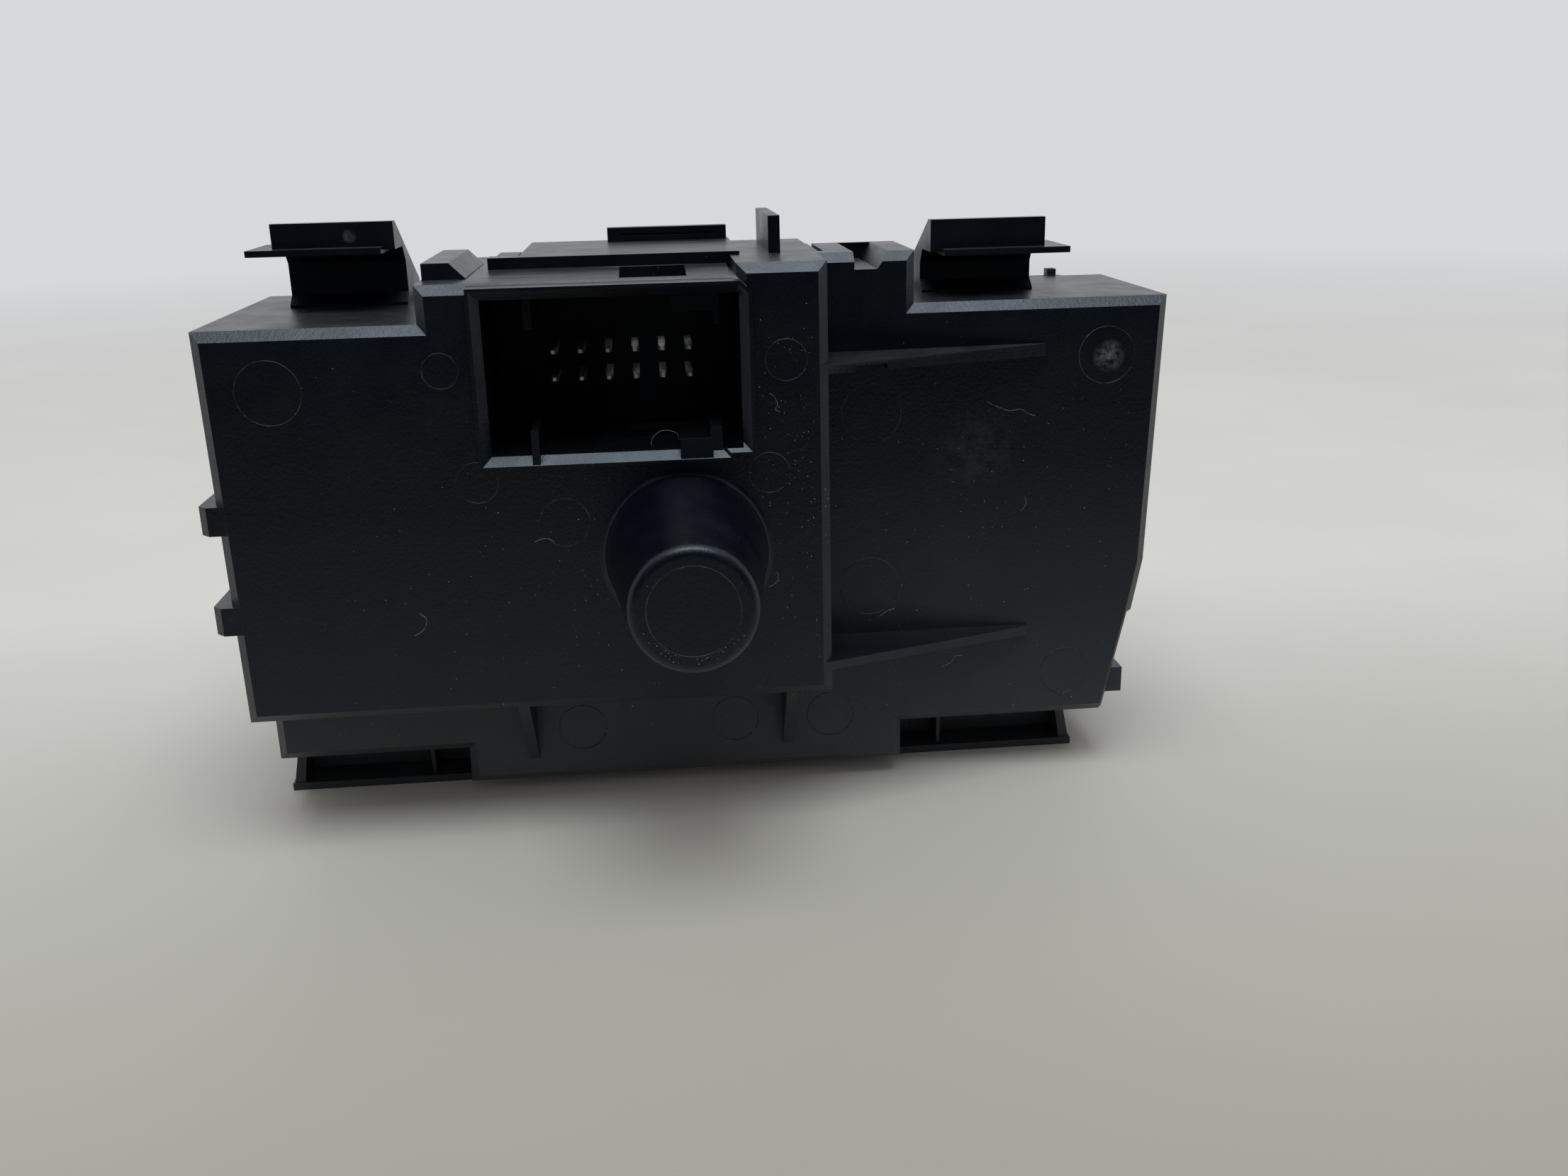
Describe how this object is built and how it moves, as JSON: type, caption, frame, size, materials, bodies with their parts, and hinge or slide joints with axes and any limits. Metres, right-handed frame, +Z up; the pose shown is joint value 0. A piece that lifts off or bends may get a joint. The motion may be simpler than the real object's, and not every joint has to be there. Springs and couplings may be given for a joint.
{
  "type": "headlight switch",
  "caption": "Car headlight switch module: rotary knob, fog light buttons and dimmer wheel on the front, black clip-in housing with a keyed pin socket and a hollow stub behind.",
  "frame": {"origin": "centre of the bounding box at its lowest level, under the clip soles", "axes": "+X to the right seen from the rear, +Y from the socket side to the knob side, +Z up"},
  "size_m": [0.0922, 0.0677, 0.0585],
  "materials": {
    "black_grained_plastic": "moulded black plastic, satin with a fine grain",
    "satin_black_plastic": "smooth satin black plastic",
    "soft_black_plastic": "soft touch black plastic",
    "tinned_contact_metal": "bright tin plating",
    "zinc_plated_steel": "zinc plated",
    "spring_steel": "rolled spring steel",
    "contact_brass": "bright stamped brass",
    "green_circuit_board": "green solder resist",
    "grey_silicone_rubber": "matt silicone rubber",
    "white_plastic": "plain white plastic",
    "clear_plastic": "clear plastic",
    "bright_trim": "bright plated trim",
    "natural_nylon": "natural nylon",
    "grey_phenolic": "dark moulded body"
  },
  "bodies": {
    "housing": {"rear_housing": "black_grained_plastic", "contact_pin_01": "tinned_contact_metal", "contact_pin_02": "tinned_contact_metal", "contact_pin_03": "tinned_contact_metal", "contact_pin_04": "tinned_contact_metal", "contact_pin_05": "tinned_contact_metal", "contact_pin_06": "tinned_contact_metal", "contact_pin_07": "tinned_contact_metal", "contact_pin_08": "tinned_contact_metal", "contact_pin_09": "tinned_contact_metal", "contact_pin_10": "tinned_contact_metal", "contact_pin_11": "tinned_contact_metal", "contact_pin_12": "tinned_contact_metal", "circuit_board": "green_circuit_board", "board_screw_1": "zinc_plated_steel", "board_screw_2": "zinc_plated_steel", "led_upper_button": "white_plastic", "led_lower_button": "white_plastic", "led_ring_upper": "white_plastic", "led_ring_lower": "white_plastic", "switch_mat": "grey_silicone_rubber", "front_frame": "black_grained_plastic", "front_fascia": "satin_black_plastic", "light_guide": "clear_plastic", "detent_spring": "spring_steel", "dimmer_control": "grey_phenolic", "dimmer_axle": "zinc_plated_steel"},
    "knob": {"rotary_knob": "soft_black_plastic", "knob_trim_ring": "bright_trim", "knob_pointer": "white_plastic", "knob_shaft": "natural_nylon", "switch_rotor": "natural_nylon", "contact_wiper": "contact_brass"},
    "front_fog": {"front_fog_button": "soft_black_plastic", "front_fog_lens": "clear_plastic"},
    "rear_fog": {"rear_fog_button": "soft_black_plastic", "rear_fog_lens": "clear_plastic"},
    "dimmer": {"dimmer_wheel": "soft_black_plastic"}
  },
  "joints": [
    {"name": "knob_turn", "type": "hinge", "parent": "housing", "child": "knob", "pos_m": [-0.00215, 0.0187, 0.0282], "axis": [0, -1, 0], "range_deg": [0, 90]},
    {"name": "front_fog_press", "type": "slide", "parent": "housing", "child": "front_fog", "axis": [0, -1, 0], "range_m": [0, 0.0015], "stiffness_N_per_m": 1200, "springref_m": -0.0005},
    {"name": "rear_fog_press", "type": "slide", "parent": "housing", "child": "rear_fog", "axis": [0, -1, 0], "range_m": [0, 0.0015], "stiffness_N_per_m": 1200, "springref_m": -0.0005},
    {"name": "dimmer_turn", "type": "hinge", "parent": "housing", "child": "dimmer", "pos_m": [0.03005, 0.0102, 0.0282], "axis": [1, 0, 0], "range_deg": [-75, 75]}
  ]
}
